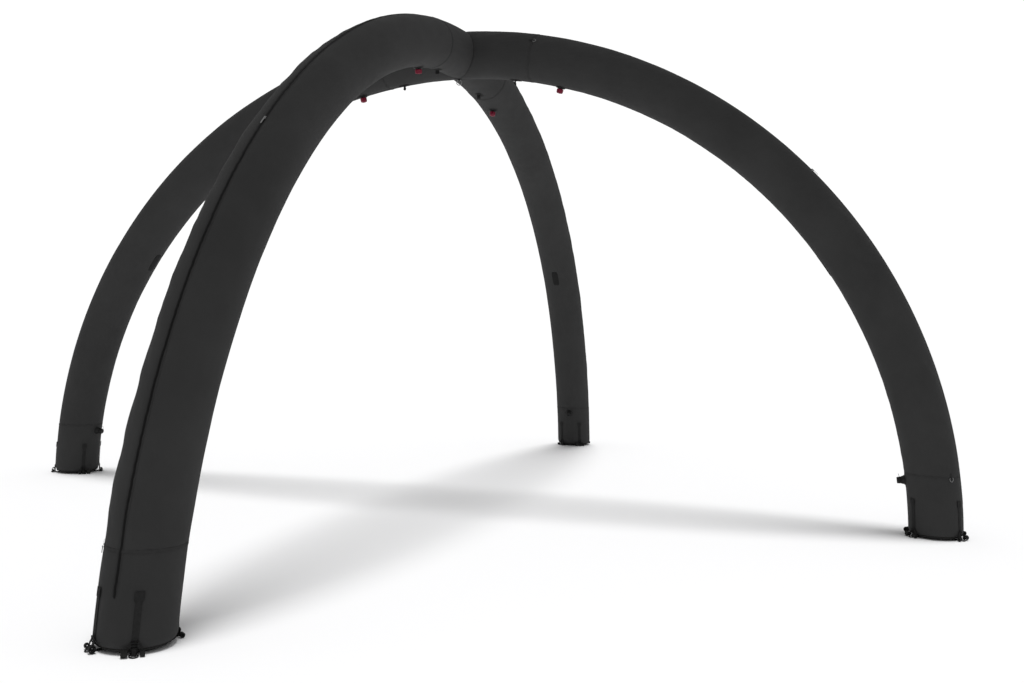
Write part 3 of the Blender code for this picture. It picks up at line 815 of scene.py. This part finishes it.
def foot_straps(leg, surfaces):
    """Straps that run down the cup, stand off its rounded edge and cross under it."""
    webbing = Shape()
    thread = Shape()
    buckle = Shape()
    top = WEBBING_TOP - 0.005
    for number, direction in enumerate(STRAP_DIRECTIONS):
        outward, across = strap_axes(leg, direction)
        path = [strap_place(leg, direction, 0.1914, height) for height in spaced(top, 0.026, 14)]
        path.append(strap_place(leg, direction, 0.1912, 0.016))
        path.append(strap_place(leg, direction, 0.1895, 0.0075))
        path.append(strap_place(leg, direction, 0.1850, 0.0032))
        path.append(strap_place(leg, direction, 0.1780, 0.0016))
        path += [strap_place(leg, direction, distance, 0.0014) for distance in spaced(0.165, 0.0, 4)]
        webbing.skin(band_rings(path, across, STRAP_WIDTH, 0.0022))
        # The sewn square at the top, where the strap's end is folded under.
        heights = spaced(top + 0.003, top - 0.040, 5)
        patch = [strap_place(leg, direction, 0.1936, height) for height in heights]
        webbing.skin(band_rings(patch, across, STRAP_PATCH_WIDTH, 0.0022))
        sew_box(thread, leg, direction, 0.1948, top - 0.001, top - 0.036, 0.036)
        # The keeper loop that holds the ring's straight side.
        middle = strap_place(leg, direction, RING_AXIS_DISTANCE, RING_AXIS_HEIGHT)
        keeper = [strap_place(leg, direction, 0.1938, height) for height in spaced(0.078, 0.034, 5)]
        for turn in spaced(40, -215, 12):
            swing = radians(turn)
            keeper.append(middle + (outward * cos(swing) + UP * sin(swing)) * 0.0056)
        keeper = [Vector((point.x, point.y, max(point.z, 0.0016))) for point in keeper]
        webbing.skin(band_rings(keeper, across, KEEPER_WIDTH, 0.0018))
        sew_box(thread, leg, direction, 0.1948, 0.075, 0.056, 0.015)
        # A ladder buckle stands on the strap just above the ring.
        slots = frame_matrix(strap_place(leg, direction, 0.1940, 0.052), UP, outward)
        for low in (-0.0150, -0.0022, 0.0105):
            rounded_plate(buckle, slots, low, low + 0.0045, 0.036, 0.0, 0.0046)
        for side in (-1, 1):
            moved = slots @ Matrix.Translation((0, side * 0.0170, 0))
            rounded_plate(buckle, moved, -0.0150, 0.0150, 0.0042, 0.0, 0.0044)
        larger = -1 if number % 2 else 1
        rolled_tail(webbing, leg, direction, larger, *LARGE_ROLL)
        rolled_tail(webbing, leg, direction, -larger, *SMALL_ROLL)
    node = leg.name + "_foot_webbing"
    webbing.finish(leg.name + "_strap_webbing", surfaces["webbing"], "frame", [node])
    thread.finish(leg.name + "_strap_thread", surfaces["thread"], "frame")
    buckle.finish(leg.name + "_strap_buckles", surfaces["plastic"], "frame")


def sew_box(shape, leg, direction, distance, high, low, width):
    """A sewn square with a cross in it."""
    outward, across = strap_axes(leg, direction)
    corners = []
    for height, side in ((high, -1), (high, 1), (low, 1), (low, -1)):
        corners.append(strap_place(leg, direction, distance, height) + across * (side * width / 2))
    for first, second in ((0, 1), (1, 2), (2, 3), (3, 0), (0, 2), (1, 3)):
        line = corners[second] - corners[first]
        count = max(3, int(line.length / 0.0036))
        along = line.normalized()
        for i in range(count):
            middle = corners[first] + line * ((i + 0.5) / count)
            shape.box(middle, along, along.cross(outward), outward, 0.0024, 0.0009, 0.0006)


def ground_rings(leg, surfaces):
    for number, direction in enumerate(STRAP_DIRECTIONS, 1):
        outward, across = strap_axes(leg, direction)
        middle = strap_place(leg, direction, RING_AXIS_DISTANCE, RING_AXIS_HEIGHT)
        sink = asin((RING_AXIS_HEIGHT - RING_WIRE - 0.0004) / RING_LENGTH)
        lying = outward * cos(sink) - UP * sin(sink)
        half = RING_WIDTH / 2
        outline = [(0, -half * 0.72), (0, -half * 0.36), (0, 0), (0, half * 0.36), (0, half * 0.72)]
        for turn in spaced(-pi / 2, pi / 2, 22):
            outline.append((RING_LENGTH * (0.14 + 0.86 * cos(turn)), -half * sin(turn)))
        path = [middle + lying * x + across * y for x, y in outline]
        made = Shape()
        made.skin(wire_rings(path, RING_WIRE, 12, endless=True), endless=True)
        name = f"{leg.name}_ground_ring_{number}"
        made.finish(name + "_detail", surfaces["dark_metal"], name, [name])


def foot_binding(leg, surfaces):
    """A piped seam where the cup's wall turns under."""
    made = Shape()
    turn = radians(-38)
    height = CUP_FLOOR + CUP_EDGE_RADIUS * (1 + sin(turn))
    radius = TUBE_RADIUS - CUP_EDGE_RADIUS * (1 - cos(turn)) + 0.0010
    path = cup_ring(leg, height, radius)
    made.skin(wire_rings(path, 0.0028, 8, endless=True), endless=True)
    made.finish(leg.name + "_foot_piping", surfaces["binding"], "frame")


# ---- Valves ----


def inflation_matrix(leg):
    angle = leg.at_height(INFLATION_HEIGHT)
    return frame_matrix(leg.point(angle, 180, TUBE_RADIUS), leg.side, -leg.square(angle))


def shutoff_matrix(leg):
    angle = leg.from_crown(SHUTOFF_REACH)
    place = leg.point(angle, 180, TUBE_RADIUS + SHUTOFF_LIFT)
    return frame_matrix(place, leg.side, -leg.square(angle))


def patch_disc(shape, leg, angle, turn, size_along, size_round, lift, corner=4.0):
    """A sewn-on patch that follows the tube: a rounded outline over the cloth."""
    count = 48
    rings = []
    levels = [(grow, lift) for grow in (0.02, 0.35, 0.7, 0.97)]
    for grow, out in levels + [(1.0, lift * 0.4), (1.0, -0.002)]:
        ring = []
        for i in range(count):
            t = 2 * pi * i / count
            x = abs(cos(t)) ** (2 / corner) * (1 if cos(t) > 0 else -1) * size_along / 2 * grow
            y = abs(sin(t)) ** (2 / corner) * (1 if sin(t) > 0 else -1) * size_round / 2 * grow
            here = angle + x / leg.radius
            ring.append(leg.point(here, turn + y / TUBE_RADIUS * 180 / pi, TUBE_RADIUS + out))
        rings.append(ring)
    shape.skin(rings)


def inflation_valve(leg, surfaces):
    """A patch, a screwed collar, a threaded neck and a blunt cap with grip ribs and a tether."""
    matrix = inflation_matrix(leg)
    angle = leg.at_height(INFLATION_HEIGHT)
    patch = Shape()
    patch_disc(patch, leg, angle, 180, 0.105, 0.105, 0.0024, corner=2.0)
    patch.finish(leg.name + "_valve_patch", surfaces["cup"], "frame")
    body = Shape()
    profile = [(0.024, -0.004), (0.0372, -0.001), (0.0380, 0.0016), (0.0378, 0.0042), (0.0362, 0.0062)]
    profile += [(0.0345, 0.0072), (0.0330, 0.0090), (0.0292, 0.0220), (0.0272, 0.0285), (0.0262, 0.0298)]
    profile += [(0.0180, 0.0300)]
    for turn in range(7):
        height = 0.0305 + 0.0022 * turn
        profile += [(0.0176, height), (0.0168, height + 0.0010)]
    profile += [(0.0150, 0.0462)]
    body.skin(turned_rings(matrix, profile, 60))
    for i in range(6):
        turn = radians(60 * i + 30)
        place = matrix @ Vector((0.0330 * cos(turn), 0.0330 * sin(turn), 0.0070))
        screw = frame_matrix(place, leg.side, matrix.to_3x3() @ UP)
        body.skin(turned_rings(screw, ((0.0030, 0), (0.0030, 0.0016), (0.0022, 0.0022)), 16))
    name = leg.name + "_inflation_valve"
    body.finish(name + "_detail", surfaces["plastic"], "frame", [name])
    cap = Shape()
    profile = ((0.0190, 0.0306), (0.0244, 0.0306), (0.0252, 0.0316), (0.0250, 0.0345), (0.0238, 0.0470))
    profile += ((0.0226, 0.0555), (0.0212, 0.0582), (0.0188, 0.0592), (0.0150, 0.0588), (0.0140, 0.0576))
    cap.skin(turned_rings(matrix, profile, 96, 24, 0.0005))
    name = leg.name + "_valve_cap"
    cap.finish(name + "_detail", surfaces["plastic"], name, [name])
    tether = Shape()
    up = matrix.inverted().to_3x3() @ leg.upward(angle)
    path = []
    for share in spaced(0, 1, 24):
        turn = radians(200 * share - 10)
        out = Vector((0, 0, 0.0295 + 0.014 * sin(radians(180 * share))))
        reach = 0.0285 + 0.019 * sin(radians(180 * share))
        flat = up * sin(turn) + up.cross(UP) * cos(turn)
        path.append(matrix @ (flat * reach + out))
    tether.skin(wire_rings(path, 0.0014, 8, endless=False))
    tether.finish(leg.name + "_cap_tether", surfaces["plastic"], "frame")


def shutoff_valve(leg, surfaces):
    matrix = shutoff_matrix(leg)
    angle = leg.from_crown(SHUTOFF_REACH)
    patch = Shape()
    patch_disc(patch, leg, angle, 180, 0.100, 0.100, 0.0026, corner=2.0)
    patch.finish(leg.name + "_shutoff_patch", surfaces["seam"], "frame")
    body = Shape()
    profile = [(0.022, -0.004), (0.0352, -0.0012), (0.0360, 0.0014), (0.0358, 0.0042), (0.0335, 0.0064)]
    profile += [(0.0300, 0.0072), (0.0200, 0.0088), (0.0190, 0.0100), (0.0190, 0.0122)]
    body.skin(turned_rings(matrix, profile, 60))
    name = leg.name + "_shutoff_valve"
    body.finish(name + "_detail", surfaces["plastic"], "frame", [name])
    knob = Shape()
    profile = ((0.0190, 0.0128), (0.0215, 0.0130), (0.0245, 0.0142), (0.0258, 0.0160), (0.0256, 0.0220))
    profile += ((0.0245, 0.0360), (0.0236, 0.0410), (0.0222, 0.0440), (0.0195, 0.0458), (0.0150, 0.0460))
    profile += ((0.0120, 0.0450), (0.0060, 0.0446))
    knob.skin(turned_rings(matrix, profile, 120, 6, 0.0020))
    rounded_plate(knob, matrix, -0.015, 0.015, 0.0050, 0.0440, 0.0478)
    name = leg.name + "_shutoff_knob"
    knob.finish(name + "_detail", surfaces["red"], name, [name])


# ---- Small fittings ----


def sewn_ring(band, metal, leg, angle, turn, size):
    """A tab of webbing sewn flat on the tube, holding a D-shaped ring that hangs down from it."""
    down = -leg.upward(angle)
    out = leg.outward(angle, turn)
    across = out.cross(down).normalized()
    base = leg.point(angle, turn, TUBE_RADIUS + 0.0020)
    path = [base - down * share for share in spaced(0.030, 0.004, 4)]
    path += [base + out * 0.0035 + down * 0.001, base + out * 0.0050 + down * 0.0055]
    path += [base + out * 0.0022 + down * 0.0085, base + out * 0.0004 + down * 0.004]
    band.skin(band_rings(path, across, size * 0.62, 0.0014))
    pivot = base + out * 0.0022 + down * 0.0035
    outline = [(0, -0.40), (0, 0.0), (0, 0.40)]
    for step in spaced(-pi / 2, pi / 2, 16):
        outline.append((0.18 + 0.82 * cos(step), -0.5 * sin(step)))
    ring = [pivot + down * (x * size * 0.92) + across * (y * size) for x, y in outline]
    metal.skin(wire_rings(ring, 0.0019, 10, endless=True), endless=True)


def canopy_loop(band, leg):
    """A folded tab under the crown that a canopy hooks into: a thick doubled loop that stands out."""
    angle = leg.from_crown(CANOPY_REACH)
    base = leg.point(angle, 180, TUBE_RADIUS + 0.0026)
    out = -leg.square(angle)
    along = leg.upward(angle)
    path = [base - along * 0.036, base - along * 0.010]
    for turn in spaced(-90, 90, 12):
        swing = radians(turn)
        path.append(base + out * (0.017 + 0.016 * sin(swing)) + along * (0.012 * cos(swing) - 0.006))
    path.append(base - along * 0.002 + out * 0.016)
    path.append(base + along * 0.006 + out * 0.0012)
    path.append(base + along * 0.034 + out * 0.0006)
    band.skin(band_rings(path, leg.side, 0.030, 0.0030))


def fittings(leg, surfaces):
    band = Shape()
    metal = Shape()
    sewn_ring(band, metal, leg, leg.at_height(SEAM_HEIGHT), -52, 0.030)
    sewn_ring(band, metal, leg, leg.from_crown(HUB_REACH), -55, 0.026)
    canopy_loop(band, leg)
    band.finish(leg.name + "_fitting_tabs", surfaces["webbing"], "frame")
    metal.finish(leg.name + "_fitting_rings", surfaces["metal"], "frame")
    patch = Shape()
    patch_disc(patch, leg, leg.at_height(2.08), 180, 0.190, 0.070, 0.0022, corner=5.0)
    patch_disc(patch, leg, leg.from_crown(CANOPY_REACH), 180, 0.100, 0.062, 0.0024, corner=5.0)
    patch.finish(leg.name + "_tab_patch", surfaces["binding"], "frame")


def crown_ring(surfaces):
    axis = LEGS[0].side
    centre = CROWN_LOOP - UP * CROWN_RING_RADIUS
    path = []
    for i in range(40):
        turn = 2 * pi * i / 40
        path.append(centre + CROWN_RING_RADIUS * (cos(turn) * UP + sin(turn) * axis))
    made = Shape()
    made.skin(wire_rings(path, RING_WIRE, 12, endless=True), endless=True)
    made.finish("crown_ring_detail", surfaces["metal"], "crown_ring", ["crown_ring"])
    loop = Shape()
    across = LEGS[0].out
    path = [CROWN_LOOP + UP * 0.0072 - across * 0.030, CROWN_LOOP + UP * 0.0066 - across * 0.010]
    for turn in spaced(150, 390, 16):
        t = radians(turn)
        path.append(CROWN_LOOP + (across * cos(t) + UP * sin(t)) * 0.0056)
    path += [CROWN_LOOP + UP * 0.0066 + across * 0.010, CROWN_LOOP + UP * 0.0072 + across * 0.030]
    loop.skin(band_rings(path, axis, 0.014, 0.0014))
    loop.finish("crown_loop_webbing", surfaces["webbing"], "frame")


# ---- Studio ----


def light_only(light, obj, state):
    """Ties a light to one object: INCLUDE lights nothing else, EXCLUDE lights everything else."""
    group = bpy.data.collections.new(light.name + "_receivers")
    group.objects.link(obj)
    group.collection_objects[0].light_linking.link_state = state
    light.light_linking.receiver_collection = group


def studio():
    """A white floor that the arches throw their soft shadows on, and even light from all round."""
    mesh = bpy.data.meshes.new("floor")
    turns = [2 * pi * i / FLOOR_SIDES for i in range(FLOOR_SIDES)]
    ring = [Vector((FLOOR_RADIUS * cos(turn), FLOOR_RADIUS * sin(turn), 0)) for turn in turns]
    mesh.from_pydata(ring, [], [tuple(range(FLOOR_SIDES))])
    paper, _, _ = new_material("floor_paper", (0.93, 0.93, 0.935), 0.9, specular=0.1)
    mesh.materials.append(paper)
    floor = bpy.data.objects.new("floor", mesh)
    bpy.context.collection.objects.link(floor)
    world = bpy.data.worlds.new("studio")
    world.use_nodes = True
    tree = world.node_tree
    back = tree.nodes["Background"]
    back.inputs["Color"].default_value = (1, 1, 1, 1)
    back.inputs["Strength"].default_value = WORLD_LIGHT
    seen = tree.nodes.new("ShaderNodeBackground")
    seen.inputs["Color"].default_value = (1, 1, 1, 1)
    seen.inputs["Strength"].default_value = WORLD_SEEN
    path = tree.nodes.new("ShaderNodeLightPath")
    mix = tree.nodes.new("ShaderNodeMixShader")
    tree.links.new(path.outputs["Is Camera Ray"], mix.inputs[0])
    tree.links.new(back.outputs[0], mix.inputs[1])
    tree.links.new(seen.outputs[0], mix.inputs[2])
    tree.links.new(mix.outputs[0], tree.nodes["World Output"].inputs["Surface"])
    bpy.context.scene.world = world
    # The key light shapes the shadows on the floor, and the dome lights the arches evenly.
    for name, strength, spread, state in SUNS:
        data = bpy.data.lights.new(name, "SUN")
        data.energy = strength
        data.angle = radians(spread)
        light = bpy.data.objects.new(name, data)
        bpy.context.collection.objects.link(light)
        light_only(light, floor, state)
    bpy.context.scene.view_settings.view_transform = "Standard"


add_camera()
SURFACES = make_surfaces()
for each_leg in LEGS:
    sleeve_cloth(each_leg, SURFACES)
    cup_cloth(each_leg, SURFACES)
    ring_seams(each_leg, SURFACES)
    zip_line(each_leg, SURFACES)
    zip_slider(each_leg, SURFACES)
    foot_straps(each_leg, SURFACES)
    ground_rings(each_leg, SURFACES)
    foot_binding(each_leg, SURFACES)
    inflation_valve(each_leg, SURFACES)
    shutoff_valve(each_leg, SURFACES)
    fittings(each_leg, SURFACES)
hub_cloth(SURFACES)
crown_mitre(SURFACES)
crown_ring(SURFACES)
for node_name, node_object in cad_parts.items():
    if node_name.endswith("_bladder"):
        for place in node_object.material_slots:
            place.material = SURFACES["liner"]
studio()
